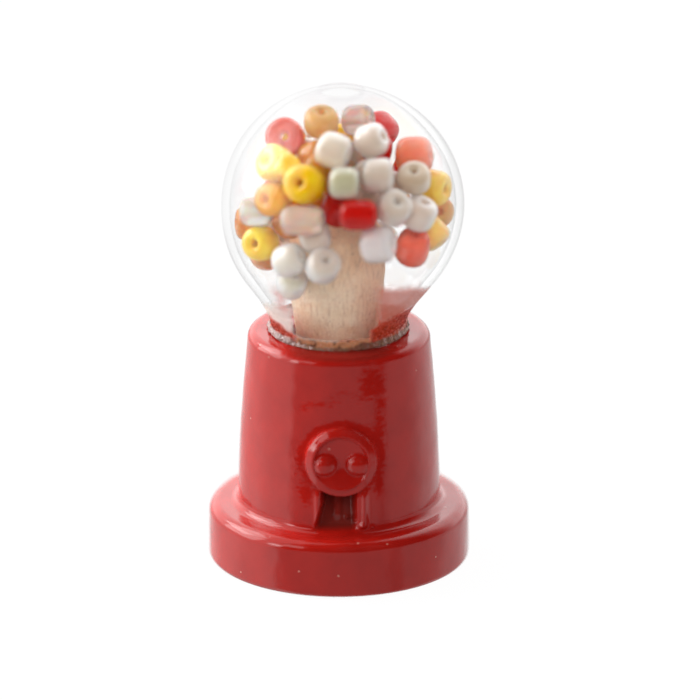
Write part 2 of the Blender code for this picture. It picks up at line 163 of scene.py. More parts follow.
def dense(points, step):
    """The polyline through points with extra points at most step apart."""
    made = [points[0]]
    for a, b in zip(points, points[1:]):
        parts = max(1, math.ceil(math.dist(a, b) / step))
        for i in range(1, parts + 1):
            made.append((a[0] + (b[0] - a[0]) * i / parts, a[1] + (b[1] - a[1]) * i / parts))
    return made


def arc(mid_r, mid_z, radius, start, end, count):
    """Points of an arc between two angles in degrees."""
    turns = [math.radians(start + (end - start) * i / (count - 1)) for i in range(count)]
    return [(mid_r + radius * math.cos(turn), mid_z + radius * math.sin(turn)) for turn in turns]


# ================================================================ node helpers
class Nodes:
    """A node tree under construction. Values are numbers, tuples or other nodes' outputs."""

    def __init__(self, owner):
        owner.use_nodes = True
        self.tree = owner.node_tree
        self.tree.nodes.clear()

    def put(self, value, slot):
        if isinstance(value, (int, float)):
            slot.default_value = value
        elif isinstance(value, tuple):
            slot.default_value = (*value, 1.0) if slot.type == "RGBA" else value
        else:
            self.tree.links.new(value, slot)

    def node(self, kind, **options):
        """Options with a capital are inputs, with _ for a space. The others are settings."""
        made = self.tree.nodes.new("ShaderNode" + kind)
        for key, value in options.items():
            if key[0].isupper():
                self.put(value, made.inputs[key.replace("_", " ")])
            else:
                setattr(made, key, value)
        return made

    def wire(self, made, slots, values):
        """Fill a node's inputs by number."""
        for slot, value in zip(slots, values):
            if value is not None:
                self.put(value, made.inputs[slot])
        return made

    def remap(self, value, over, to=(0.0, 1.0), **settings):
        """Carry the range `over` to the range `to`."""
        made = self.node(
            "MapRange", **settings, Value=value,
            From_Min=over[0], From_Max=over[1], To_Min=to[0], To_Max=to[1],
        )
        return made.outputs["Result"]

    def math(self, operation, a, b=None):
        return self.wire(self.node("Math", operation=operation), (0, 1), (a, b)).outputs[0]

    def times(self, a, b):
        return self.math("MULTIPLY", a, b)

    def plus(self, a, b):
        return self.math("ADD", a, b)

    def mix(self, fac, a, b, **settings):
        """Colour a where fac is 0, b where it is 1."""
        made = self.node("Mix", data_type="RGBA", **settings)
        return self.wire(made, (0, 6, 7), (fac, a, b)).outputs[2]

    def mix_shaders(self, fac, a, b):
        return self.wire(self.node("MixShader"), (0, 1, 2), (fac, a, b)).outputs[0]


class Shader(Nodes):
    """A material under construction."""

    def __init__(self, name):
        self.mat = bpy.data.materials.new(name)
        super().__init__(self.mat)

    def coords(self):
        return self.node("TexCoord").outputs["Object"]

    def axis(self, number):
        """One object coordinate: 0 for x, 2 for z."""
        return self.node("SeparateXYZ", Vector=self.coords()).outputs[number]

    def stretched(self, scale):
        return self.node("Mapping", Scale=scale, Vector=self.coords()).outputs[0]

    def noise(self, size, detail=3.0, rough=0.5, vector=None):
        """Noise with lumps about `size` mm across."""
        made = self.node(
            "TexNoise", Scale=1.0 / (size * MM), Detail=detail, Roughness=rough,
            Vector=vector or self.coords(),
        )
        return made.outputs["Fac"]

    def facing(self, blend):
        """0 where the surface faces the eye, 1 where it turns away."""
        return self.node("LayerWeight", Blend=blend).outputs["Facing"]

    def attribute(self, name):
        return self.node("Attribute", attribute_name=name).outputs

    def bump(self, height, distance, strength=1.0, normal=None):
        made = self.node("Bump", Strength=strength, Distance=distance * MM, Height=height)
        if normal:
            self.put(normal, made.inputs["Normal"])
        return made.outputs["Normal"]

    def principled(self, **inputs):
        return self.node("BsdfPrincipled", **inputs).outputs[0]

    def finish(self, surface):
        self.node("OutputMaterial", Surface=surface)
        return self.mat


def heights(*levels):
    """Heights in mm as a shader's coordinates."""
    return tuple(level * MM for level in levels)


# ================================================================ materials
def enamel():
    """Thick glossy red enamel with slow waves, a fine peel, dull patches and specks of dust.

    The attributes "shade" and "dull" say where painted shade darkens it and where its gloss breaks
    up.
    """
    s = Shader("red_enamel")
    tone = s.noise(size=1.8, detail=2.0)
    fine = s.noise(size=0.35, detail=4.0, rough=0.6)
    base = s.mix(s.remap(tone, over=(0.35, 0.65)), (0.44, 0.0100, 0.0060), (0.50, 0.0120, 0.0070))
    base = s.mix(s.remap(fine, over=(0.55, 0.75), to=(0.0, 0.3)), base, (0.38, 0.008, 0.005))
    # Dust: a small pale speck in a few cells of a sparse pattern.
    cells = s.node("TexVoronoi", feature="F1", Scale=1.0 / (0.6 * MM), Vector=s.coords())
    picked = s.node("SeparateColor", Color=cells.outputs["Color"]).outputs[0]
    near = s.remap(cells.outputs["Distance"], over=(0.115, 0.06))
    speck = s.times(near, s.math("GREATER_THAN", picked, 0.90))
    base = s.mix(speck, base, (0.85, 0.40, 0.32))
    # Painted shade: the base turns darker inside the chute's mouth and along the front of the top
    # edge.
    shade = s.attribute("shade")["Fac"]
    base = s.mix(s.remap(shade, over=(0.2, 0.9)), base, (0.21, 0.020, 0.014))
    # Gloss breaks up into blotches where the paint is dull.
    dull = s.attribute("dull")["Fac"]
    blotch = s.noise(size=0.26, detail=5.0, rough=0.75, vector=s.stretched((0.55, 0.55, 1.25)))
    broken = s.plus(dull, s.times(s.math("SUBTRACT", blotch, 0.5), 3.2))
    broken = s.times(s.remap(broken, over=(0.34, 0.66)), s.remap(dull, over=(0.04, 0.22)))
    rough = s.remap(s.noise(size=0.7), over=(0.3, 0.7), to=(0.07, 0.14))
    rough = s.plus(rough, s.times(broken, 0.15))
    normal = s.bump(s.noise(size=1.3, detail=1.0), distance=0.030, strength=0.3)
    peel = s.noise(size=0.42, detail=2.0, rough=0.45)
    normal = s.bump(peel, distance=0.010, strength=0.35, normal=normal)
    normal = s.bump(speck, distance=0.02, strength=0.5, normal=normal)
    gloss = s.times(
        s.remap(shade, over=(0.2, 0.8), to=(0.56, 0.40)),
        s.remap(broken, over=(0.0, 1.0), to=(1.0, 0.08)),
    )
    return s.finish(s.principled(
        Base_Color=base, Roughness=rough, IOR=1.5, Normal=normal, Specular_IOR_Level=gloss,
    ))


def clear_glass():
    """Thin blown glass, seen straight through, with a painted grey shade and more reflection where
    it turns away.
    """
    s = Shader("globe_glass")
    waves = s.bump(s.noise(size=3.5, detail=1.0), distance=0.02, strength=0.25)
    away = s.facing(blend=0.5)
    split = s.node("SeparateXYZ", Vector=s.coords())
    across, height = split.outputs[0], split.outputs[2]
    present = s.remap(height, over=heights(27.0, 29.6), to=(1.0, 0.35))
    # The outline, a painted grey shade with a stronger reflection, shows at the right and low
    # down; light from behind hides the rest.
    low_down = s.remap(height, over=heights(19.0, 22.0), to=(1.0, 0.0))
    rightward = s.remap(across, over=heights(-1.0, 5.0), to=(0.04, 1.0))
    lines = s.math("MAXIMUM", rightward, low_down)
    rim = s.times(s.math("POWER", away, 5.0), s.remap(lines, over=(0.0, 1.0), to=(0.25, 0.75)))
    shine = s.times(s.plus(rim, 0.035), present)
    # Shadow, diffuse and deep rays meet no reflection.
    path = s.node("LightPath").outputs
    unseen = s.math("MAXIMUM", path["Is Shadow Ray"], path["Is Diffuse Ray"])
    unseen = s.math("MAXIMUM", unseen, s.math("GREATER_THAN", path["Ray Depth"], 6.5))
    shine = s.times(shine, s.math("SUBTRACT", 1.0, unseen))
    # Painted shade: grey along the outline and over the top ring, in the colour let through.
    grey = s.times(s.remap(away, over=(0.80, 0.99)), lines)
    top_ring = s.remap(height, over=heights(29.45, 29.75), to=(0.0, 0.6))
    grey = s.math("MAXIMUM", grey, top_ring)
    colour = s.mix(grey, (0.998, 0.998, 0.998), (0.945, 0.935, 0.94))
    through = s.node("BsdfTransparent", Color=colour).outputs[0]
    gloss = s.node("BsdfAnisotropic", Roughness=0.02, Normal=waves).outputs[0]
    return s.finish(s.mix_shaders(shine, through, gloss))


# Milky glass: colours of the middle and of the edge, the paler edge being a painted rim of light.
MILKY_GLASS = {
    "pearl": ((0.86, 0.70, 0.58), (1.0, 0.96, 0.93)),
    "green": ((0.68, 0.64, 0.42), (0.92, 0.93, 0.82)),
    "white": ((0.90, 0.82, 0.83), (0.96, 0.92, 0.93)),
}
MILKY_LOOK = dict(
    Transmission_Weight=0.25, Roughness=0.16, IOR=1.55,
    Subsurface_Weight=0.6, Subsurface_Radius=(1.0, 0.85, 0.75), Subsurface_Scale=0.0010,
    Coat_Weight=0.8, Coat_Roughness=0.04, Sheen_Weight=0.25, Sheen_Roughness=0.4,
)
YELLOW_LOOK = dict(
    Roughness=0.18, IOR=1.5,
    Subsurface_Weight=0.45, Subsurface_Radius=(1.0, 0.6, 0.1), Subsurface_Scale=0.0008,
    Coat_Weight=0.3, Coat_Roughness=0.1,
)
# Clear glass: colour, roughness and share of light let through.
CLEAR_GLASS = {
    "red": ((0.85, 0.010, 0.006), 0.08, 0.50),
    "orange": ((1.0, 0.38, 0.045), 0.12, 0.40),
    "crystal": ((1.0, 0.92, 0.87), 0.12, 0.68),
}
CLEAR_LOOK = dict(
    IOR=1.5, Subsurface_Weight=0.8, Subsurface_Radius=(1.0, 0.35, 0.2), Subsurface_Scale=0.0014,
)


def darker(colour, share):
    return tuple(share * part for part in colour)


def bead_material(glass):
    """One glass colour, multiplied by each bead's own tint."""
    s = Shader(f"{glass}_bead")
    mottle = s.noise(size=0.7)
    if glass in MILKY_GLASS:
        core, edge = MILKY_GLASS[glass]
        look = MILKY_LOOK
        # Painted rim light: the colour pales towards the edge as the bead turns away.
        base = s.mix(s.remap(s.facing(blend=0.35), over=(0.02, 0.60)), core, edge)
        base = s.mix(s.remap(mottle, over=(0.45, 0.7), to=(0.0, 0.25)), base, darker(core, 0.86))
    elif glass == "yellow":
        look = YELLOW_LOOK
        base = s.mix(s.remap(mottle, over=(0.35, 0.7)), (1.0, 0.66, 0.012), (0.94, 0.50, 0.006))
    else:
        tint, rough, through = CLEAR_GLASS[glass]
        look = dict(CLEAR_LOOK, Roughness=rough, Transmission_Weight=through)
        base = s.mix(s.remap(mottle, over=(0.35, 0.7), to=(0.0, 0.6)), tint, darker(tint, 0.82))
    own = s.node("ObjectInfo").outputs["Color"]
    return s.finish(s.principled(
        Base_Color=s.mix(1.0, base, own, blend_type="MULTIPLY"),
        Normal=s.bump(s.noise(size=0.55, detail=2.0), distance=0.02, strength=0.3),
        **look,
    ))


def plug_material():
    """Cream plug with a pithy grain, faint upright lines, brown flecks and painted warm light over
    its top.
    """
    s = Shader("cream_plug")
    lines = s.noise(size=0.16, detail=4.0, rough=0.6, vector=s.stretched((1.0, 1.0, 0.18)))
    blotch = s.noise(size=1.5)
    grain = s.noise(size=0.15, detail=4.0, rough=0.65)
    flecks = s.noise(size=0.24, rough=0.7)
    height = s.axis(2)
    base = s.mix(s.remap(blotch, over=(0.35, 0.65)), (0.95, 0.81, 0.61), (0.84, 0.65, 0.46))
    # Layers over the base: what drives one, its range, its greatest share and its colour.
    # The first is painted light, a warm glow over the top from the orange and red beads; the
    # second turns it darker towards the bottom.
    for value, over, share, colour in (
        (height, heights(17.6, 20.0), 0.7, (1.0, 0.66, 0.40)),
        (height, heights(16.2, 15.0), 0.5, (0.62, 0.42, 0.27)),
        (lines, (0.50, 0.70), 0.70, (0.60, 0.41, 0.27)),
        (grain, (0.50, 0.66), 0.45, (1.0, 0.90, 0.72)),
        (flecks, (0.60, 0.72), 0.65, (0.42, 0.25, 0.16)),
    ):
        base = s.mix(s.remap(value, over, to=(0.0, share)), base, colour)
    return s.finish(s.principled(
        Base_Color=base, Roughness=0.6,
        Subsurface_Weight=0.25, Subsurface_Radius=(1.0, 0.7, 0.45), Subsurface_Scale=0.0005,
        Normal=s.bump(s.plus(lines, s.times(grain, 0.8)), distance=0.05, strength=0.8),
    ))


def glue_material():
    """Cured glue: a grey and brown gritty foot with painted glints and, above it, a film coloured
    with painted light: the red casting seen through the glass, and glints.
    """
    s = Shader("clear_glue")
    grit = s.noise(size=0.11, detail=4.0, rough=0.75)
    patch = s.noise(size=0.35)
    leftward = s.remap(s.axis(0), over=heights(-2.2, -3.2))
    pale = s.mix(leftward, (0.56, 0.34, 0.21), (0.62, 0.46, 0.44))
    foot = s.mix(s.remap(grit, over=(0.44, 0.60)), (0.13, 0.040, 0.022), pale)
    # Painted glints: pale spots in the grit.
    foot = s.mix(s.remap(grit, over=(0.62, 0.67)), foot, (0.95, 0.80, 0.70))
    patches = s.remap(patch, over=(0.42, 0.60), to=(0.0, 0.75))
    foot = s.mix(patches, foot, (0.32, 0.085, 0.045))
    # Painted refraction: the film's red is the red casting seen through the glass, with painted
    # glints.
    film = s.mix(s.remap(grit, over=(0.40, 0.62)), (0.45, 0.018, 0.007), (0.95, 0.20, 0.08))
    film = s.mix(s.remap(grit, over=(0.64, 0.72)), film, (1.0, 0.75, 0.65))
    above = s.remap(s.axis(2), over=heights(GLUE_FOOT_TOP, GLUE_FOOT_TOP + 0.12))
    return s.finish(s.principled(
        Base_Color=s.mix(above, foot, film),
        Roughness=s.remap(grit, over=(0.4, 0.6), to=(0.30, 0.6)),
        IOR=1.48,
        Transmission_Weight=s.remap(patch, over=(0.42, 0.60), to=(0.05, 0.30)),
        Normal=s.bump(grit, distance=0.05, strength=0.9),
    ))


def smear_material():
    """Thin glue smeared on the neck, coloured partly with painted light. The attribute "smear"
    holds its colour and thickness.
    """
    s = Shader("glue_smear_painted_refraction")
    own = s.attribute("smear")
    grit = s.noise(size=0.12, detail=4.0, rough=0.75)
    lines = s.noise(size=0.22, rough=0.6, vector=s.stretched((0.35, 0.35, 1.0)))
    spark = s.remap(grit, over=(0.575, 0.64), to=(0.0, 0.75))
    green = s.node("SeparateColor", Color=own["Color"]).outputs[1]
    # The darker smears, with little green in them, are full of grit.
    gritty = s.times(
        s.remap(green, over=(0.12, 0.20), to=(0.75, 0.0)), s.remap(grit, over=(0.52, 0.42)),
    )
    base = s.mix(gritty, own["Color"], (0.16, 0.035, 0.02))
    # Painted glints: pale sparks, strongest in the redder smears.
    sparks = s.times(spark, s.remap(green, over=(0.6, 0.3), to=(0.3, 1.0)))
    base = s.mix(sparks, base, (1.0, 0.86, 0.80))
    loose = s.times(s.math("SUBTRACT", lines, 0.5), 0.55)
    thick = s.times(own["Alpha"], s.plus(loose, 1.0))
    thick = s.math("MINIMUM", s.math("MAXIMUM", thick, 0.0), 0.95)
    body = s.principled(
        Base_Color=base, Roughness=s.remap(grit, over=(0.4, 0.6), to=(0.12, 0.45)), IOR=1.48,
        Subsurface_Weight=0.3, Subsurface_Radius=(1.0, 0.5, 0.4), Subsurface_Scale=0.0003,
        Normal=s.bump(grit, distance=0.03, strength=0.5),
    )
    glow = s.node("BsdfTranslucent", Color=base).outputs[0]
    lit = s.mix_shaders(0.45, body, glow)
    return s.finish(s.mix_shaders(thick, s.node("BsdfTransparent").outputs[0], lit))


ENAMEL = enamel()
GLASS = clear_glass()
PLUG = plug_material()
GLUE = glue_material()
SMEAR = smear_material()
GLASSES = ("red", "orange", "yellow", "pearl", "white", "crystal", "green")
BEADS = {glass: bead_material(glass) for glass in GLASSES}

# ================================================================ casting
# Height and radius up the body; a smooth curve is fitted so the side has no creases.
BODY_OUTLINE = (
    (4.07, 6.225), (4.45, 6.22), (5.4, 6.20), (6.5, 6.18),
    (8.3, 6.08), (10.0, 5.97), (12.0, 5.82), (13.5, 5.69),
)
# Blobs of paint low in the chute's mouth: x, z, size, height.
PAINT_BLOBS = (
    (0.50, 4.42, 0.13, 0.20), (0.95, 4.20, 0.10, 0.12), (1.42, 4.08, 0.17, 0.20),
    (1.98, 3.92, 0.12, 0.13), (0.80, 5.85, 0.10, 0.14),
)
# Patches of rough paint: amount, x, z, wide, tall.
ROUGH_PATCHES = (
    (1.0, 1.80, 13.15, 0.56, 0.90), (0.62, -1.15, 11.85, 0.80, 0.22),
    (0.55, -2.35, 11.5, 0.5, 0.25), (0.42, 2.1, 9.9, 0.5, 1.2),
    (0.40, -2.55, 8.2, 0.3, 1.6), (0.30, 0.4, 12.4, 1.6, 0.5),
)


def casting_profile():
    """(radius, height) from the middle of the underside, up the outside, into the socket."""
    base_round, edge_round, fillet, shoulder_round = 0.32, 0.68, 0.5, 0.58
    socket_r, socket_z = 2.9, TOP_Z - 1.55
    low = [(0.02, 0.0)] + dense([(0.4, 0.0), (FOOT_R - 0.34, 0.0)], step=1.2)
    low += arc(FOOT_R - base_round, base_round, base_round, -85, 0, count=9)
    foot = dense([(FOOT_R, 0.36), (FOOT_R, FOOT_TOP - 0.72)], step=0.2)
    foot += arc(FOOT_R - edge_round, FOOT_TOP - edge_round, edge_round, 2, 90, count=22)
    foot += dense([(FOOT_R - 0.76, FOOT_TOP), (6.70, FOOT_TOP + 0.003)], step=0.09)
    foot += [
        (6.74 - fillet * math.sin(turn), FOOT_TOP + fillet - fillet * math.cos(turn))
        for turn in np.linspace(0.16, 1.5, 16)
    ]
    body_z = np.concatenate((np.arange(4.10, 14.0, 0.04), [TOP_Z - 0.66]))
    known_z, known_r = zip(*BODY_OUTLINE)
    body = list(zip(np.polyval(np.polyfit(known_z, known_r, 4), body_z), body_z))
    shoulder_r = body[-1][0] - 0.02
    top = arc(
        shoulder_r - 0.56, TOP_Z - shoulder_round, shoulder_round, 8, 88, count=20,
    )
    top += dense([(shoulder_r - 0.60, TOP_Z), (3.06, TOP_Z - 0.02)], step=0.12)
    mouth = arc(3.06, TOP_Z - 0.18, 0.16, 90, 180, count=6)
    socket = dense([(socket_r, TOP_Z - 0.22), (socket_r, TOP_Z - 1.5)], step=0.3)
    socket += [(2.8, socket_z), (1.4, socket_z), (0.02, socket_z)]
    return low + foot + body + top + mouth + socket


def dial_front(x, z, rho):
    """Distance of the dial from the axis plane, at rho from its centre."""
    face_out, drop, eye_r = 6.14, 6.0, 0.84  # drop is the slope of the steep outer sides
    # The face is dished, and paint has pooled in its lower half.
    pool = np.clip(DIAL_Z + 0.30 - z, 0, None)
    face = face_out + 0.035 * rho**2 + 0.105 * pool**2
    # The rim slopes from a rounded crest out to its edge, gentler at the bottom.
    down = np.clip((DIAL_Z - z) / np.maximum(rho, 0.3), 0, 1)
    slope = 0.66 - 0.44 * rise(down, 0.45, 0.95)
    crest = CREST_OUT - slope * np.abs(rho - CREST_R) - 0.9 * np.clip(1.70 - rho, 0, None)
    crest = soft_min(crest, 6.48, fillet=0.05)
    outside = CREST_OUT - (RIM_R - CREST_R) * slope - drop * (rho - RIM_R)
    rim = np.where(rho < RIM_R, crest, outside)
    face = np.where(rho < CREST_R, face, 6.30 - drop * (rho - CREST_R))
    dial = soft_max(face, rim, fillet=0.06)
    # Two round bumps side by side, a little below the centre.
    for at_x in (-1.01, 1.01):
        far2 = (x - DIAL_X - at_x) ** 2 + (z - DIAL_Z + 0.20) ** 2
        bump = 5.86 + np.sqrt(np.maximum(0.0, eye_r**2 - far2))
        bump = np.where(far2 < 0.79**2, bump, face_out - 3.0 * (np.sqrt(far2) - 0.79))
        dial = soft_max(dial, bump, fillet=0.04)
    return dial


def chute_mouth(x, z):
    """How far in the mouth each point is. It spreads at its lower left."""
    spread = np.clip(5.4 - z, 0, None)
    off = x + 0.06 + 0.12 * spread
    off = np.where(off > 0, off / 1.10, -off)
    wide = fall(off - 0.14 * spread, 0.66, 1.14)
    tall = fall(z, DIAL_Z - 2.2, DIAL_Z - 1.85) * rise(z, FOOT_TOP + 0.05, FOOT_TOP + 0.5)
    return wide * tall


def dullness(x, z, rho, below):
    """Dull paint round the dial, most above it and at its two lower corners, less on the ribs."""
    halo = rise(rho, 2.14, 2.24) * fall(rho, 2.42, 2.80) * (0.80 + 0.20 * np.sign(z - DIAL_Z))
    dull = np.maximum(halo, 1.25 * hump(x, z, at_x=-2.05, at_z=6.1, wide=0.36, tall=0.70))
    dull = np.maximum(dull, 1.1 * hump(x, z, at_x=2.45, at_z=6.7, wide=0.34, tall=0.85))
    dull = dull * (1 - 0.8 * below * bell(x, np.where(x > 0, RIB_RIGHT, RIB_LEFT), wide=0.22))
    return np.where(rho < 2.12, 0, dull)


def front_relief(x, z, body):
    """Distance of the front from the axis plane, how far in the chute it is, and how dull.

    The dial stands above two upright ribs with the chute's mouth between them. Thick paint fills
    every corner.
    """
    rho = np.hypot(x - DIAL_X, z - DIAL_Z)
    dial = dial_front(x, z, rho)
    # The ribs are uneven from the brush.
    below = fall(z, DIAL_Z - 2.35, DIAL_Z - 1.8) * rise(z, FOOT_TOP + 0.1, FOOT_TOP + 0.6)
    for at_x, high in ((RIB_LEFT, 0.10), (RIB_RIGHT, 0.22)):
        body = body + high * below * bell(x, at_x, wide=0.20)
    body = body + 0.05 * np.clip(1 - (rho - 2.15) / 0.3, 0, 1) ** 2
    # The mouth is deep under the dial and slopes out to the foot, with a raised strip in it.
    mouth = chute_mouth(x, z)
    depth = (0.45 + 0.40 * np.clip(z - FOOT_TOP - 0.2, 0, 2.4)) * mouth
    strip = fall(abs(x + 0.12), 0.04, 0.44) * mouth * rise(z, FOOT_TOP + 0.5, FOOT_TOP + 1.2)
    carved = body - depth + 0.17 * strip
    for at_x, at_z, size, high in PAINT_BLOBS:
        carved = carved + high * hump(x, z, at_x, at_z, size, size)
    # How far in the chute's mouth each point is, which the enamel paints as shade.
    inside = mouth * fall(dial - carved, -0.05, 0.1) * (1 - 0.25 * strip)
    return soft_max(carved, dial, fillet=0.05), inside, dullness(x, z, rho, below)


def top_edge(x, z):
    """The front stretch of the casting's top edge."""
    return rise(z, TOP_Z - 0.36, TOP_Z - 0.10) * np.exp(-(((x - 0.1) / 3.5) ** 8))


def brushing(x, z, radius):
    """Where the paint dried rough: an upright band, a few patches and the top edge."""
    amount = 0.50 * bell(x, 2.55, wide=0.42) * rise(z, 7.0, 8.0)
    for share, at_x, at_z, wide, tall in ROUGH_PATCHES:
        amount += share * hump(x, z, at_x, at_z, wide, tall)
    amount += 1.7 * top_edge(x, z)
    return amount * ((radius > 3.4) & (z > FOOT_TOP + 0.4))


def make_uneven(points, turn, brushed):
    """Slow waves and sags in the paint, dabs where it is brushed, and tops not quite level."""
    outward = np.stack((np.sin(turn), -np.cos(turn), np.zeros_like(turn)), axis=-1).reshape(-1, 3)
    shape = 0.030 * ripple(points, size=2.3, seed=1) + 0.012 * ripple(points, size=0.9, seed=2)
    shape += 0.035 * ripple(points * np.array((1, 1, 0.3)), size=5.5, seed=3)
    outer = (np.hypot(points[:, 0], points[:, 1]) > 3.6) & (points[:, 2] > 0.25)
    dabs = 0.017 * ripple(points * np.array((1.5, 1, 1)), size=0.42, seed=6)
    dabs += 0.010 * ripple(points, size=0.19, seed=7)
    strength = (0.12 + brushed).reshape(-1)
    points += outward * (shape * outer + dabs * strength)[:, None]
    height = points[:, 2]
    ledge = (height > FOOT_TOP - 0.3) & (height < FOOT_TOP + 0.1)
    top = (height > TOP_Z - 0.4) & (np.hypot(points[:, 0], points[:, 1]) > 3.6)
    level = 0.014 * ripple(points, size=1.7, seed=4) * ledge
    level += 0.018 * ripple(points, size=1.5, seed=5) * top
    points[:, 2] += level


def build_casting():
    profile = np.array(casting_profile())
    # Fine steps across the front, coarse ones round the rest.
    fine = np.radians(np.arange(-31, 31.001, 0.34))
    coarse = np.radians(np.arange(33, 327.1, 2.0))
    turns = np.concatenate((fine, coarse))
    radius, turn = np.meshgrid(profile[:, 0], turns, indexing="ij")
    z = np.meshgrid(profile[:, 1], turns, indexing="ij")[0]
    x, y = radius * np.sin(turn), -radius * np.cos(turn)
    # The front's relief, blended out at the edges of the patch it covers.
    wall = (z > FOOT_TOP + 0.015) & (z < 11.2) & (radius > 5.0)
    wall &= abs(turn) < math.radians(31.5)
    body = -y
    relief, mouth, dull = front_relief(x, z, body)
    fade = fall(abs(x), 2.75, 3.05) * fall(z, 10.9, 11.2)
    y = np.where(wall, -(body + (relief - body) * fade), y)
    brushed = brushing(x, z, radius) * (y < 0)
    points = np.stack((x, y, z), axis=-1).reshape(-1, 3)
    make_uneven(points, turn, brushed)
    rows, cols = len(profile), len(turns)
    faces = ring_faces(rows, cols) + end_caps(rows, cols)
    casting = mesh_object("pedestal_skin", points, faces, ENAMEL)
    # Painted shade along the front of the top edge, added to the painted shade in the chute's
    # mouth.
    edge = 0.66 * top_edge(x, z) * (y < -3.4)
    for key, value, more in (("shade", mouth * fade, edge), ("dull", dull * fade, brushed)):
        layer = casting.data.attributes.new(key, "FLOAT", "POINT")
        layer.data.foreach_set("value", (np.where(wall, value, 0) + more).reshape(-1))
    stand_in(casting, "pedestal")


# ================================================================ globe
def globe_offset(z):
    """Sideways lean of the glass at a height, averaged over nearby heights to round it."""
    levels, offsets = (NECK_Z, GLOBE_Z, GLOBE_Z + GLOBE_R), (-0.10, 0.28, 0.12)
    near = (-2.0, -1.2, -0.5, 0, 0.5, 1.2, 2.0)
    return float(sum(np.interp(z + step, levels, offsets) for step in near) / len(near))


def neck_radius(z):
    """Outer radius of the neck: a short tube that flares smoothly into the sphere."""
    z = np.asarray(z, dtype=float)
    low_z, low_r, low_slope = 15.0, 4.09, 0.10
    high_r = math.sqrt(SHELL_R**2 - (GLOBE_Z - NECK_JOIN) ** 2)
    high_slope = (GLOBE_Z - NECK_JOIN) / high_r
    tall = NECK_JOIN - low_z
    up = (z - low_z) / tall
    # Cubic that meets both radii and both slopes.
    curve = (2 * up**3 - 3 * up**2 + 1) * low_r + (up**3 - 2 * up**2 + up) * tall * low_slope
    curve += (3 * up**2 - 2 * up**3) * high_r + (up**3 - up**2) * tall * high_slope
    return np.where(z < low_z, low_r + low_slope * (z - low_z), curve)


def globe_profile():
    """Closed (radius, height) loop: down the outside, up the inside, and over the top ring."""
    join = math.asin((GLOBE_Z - NECK_JOIN) / SHELL_R)
    inner_join = math.asin((GLOBE_Z - NECK_JOIN) / (SHELL_R - WALL))
    # A low thin ring stands round a hole at the top.
    start = math.acos(1.47 / SHELL_R)
    top = GLOBE_Z + SHELL_R * math.sin(start)
    tall = GLOBE_TOP - 0.03 - top
    ring = [(1.27, top - 0.06)]
    # Radius and share of the ring's height.
    for radius, share in (
        (1.28, 0.4), (1.32, 0.85), (1.38, 1), (1.44, 0.9), (1.475, 0.55), (1.50, 0.12),
    ):
        ring.append((radius, top + share * tall))
    sphere = [
        (SHELL_R * math.cos(turn), GLOBE_Z + SHELL_R * math.sin(turn))
        for turn in np.linspace(start - 0.02, -join, 76)
    ]
    neck_z = np.linspace(18.33, NECK_Z, 40)
    neck = list(zip(neck_radius(neck_z), neck_z))
    foot = arc(NECK_R - 0.25, NECK_Z + 0.10, 0.22, -20, -160, count=9)
    neck_in_z = np.linspace(NECK_Z + 0.2, 18.33, 40)
    join_wall = WALL * SHELL_R / float(neck_radius(NECK_JOIN))
    thick = np.interp(neck_in_z, (NECK_Z, NECK_JOIN), (0.48, join_wall))
    neck_in = list(zip(neck_radius(neck_in_z) - thick, neck_in_z))
    inner = []
    for turn in np.linspace(-inner_join, math.acos(1.36 / SHELL_R), 64):
        # The wall thins towards the ring.
        wall = WALL - (WALL - 0.20) * float(rise(turn, math.radians(35), math.radians(78)))
        inside = SHELL_R - wall
        inner.append((inside * math.cos(turn), GLOBE_Z + inside * math.sin(turn)))
    return sphere + neck + foot + neck_in + inner + ring


def build_globe():
    profile, cols = globe_profile(), 144
    points = []
    for radius, z in profile:
        off = globe_offset(z)
        for turn in np.linspace(0, math.tau, cols, endpoint=False):
            # Very slightly out of round.
            swell = 1 + 0.0035 * math.sin(2 * turn + 0.6) + 0.002 * math.sin(3 * turn + 0.31 * z)
            out = radius * swell
            points.append((off + out * math.sin(turn), -out * math.cos(turn), z))
    faces = ring_faces(len(profile), cols, close_rows=True, flip=True)
    stand_in(mesh_object("globe_shell", points, faces, GLASS), "glass_globe")


# ================================================================ plug and glue
def build_plug():
    """A tapered plug with a domed top."""
    low, high = box_mm("neck_plug")
    mid_x = (low.x + high.x) / 2
    dome_z, dome_r = 20.4, 2.95
    side_z = (low.z, 14.8, 16.6, 18.5, dome_z)
    side_r = (2.45, 2.58, 2.86, 2.98, dome_r)
    levels = np.concatenate((np.linspace(low.z, 21.2, 80), np.linspace(21.3, high.z - 0.01, 26)))
    cols = 120
    points = []
    for z in levels:
        radius = float(np.interp(z, side_z, side_r))
        if z > dome_z:
            up = (z - dome_z) / (high.z - dome_z)
            radius = dome_r * math.sqrt(max(0.0, 1 - up**2.2)) + 0.01
        for j in range(cols):
            turn = math.tau * j / cols
            point = Vector((radius * math.sin(turn), -radius * math.cos(turn), z))
            lines = noise.noise(Vector((point.x * 3.2, point.y * 3.2, z * 0.5)))
            lumps = noise.noise(point * 0.7)
            out = max(radius + 0.035 * lines + 0.06 * lumps - 0.03, 0.01)
            points.append((mid_x + out * math.sin(turn), -out * math.cos(turn), z))
    rows = len(levels)
    faces = ring_faces(rows, cols) + end_caps(rows, cols)
    stand_in(mesh_object("neck_plug_body", points, faces, PLUG), "neck_plug")


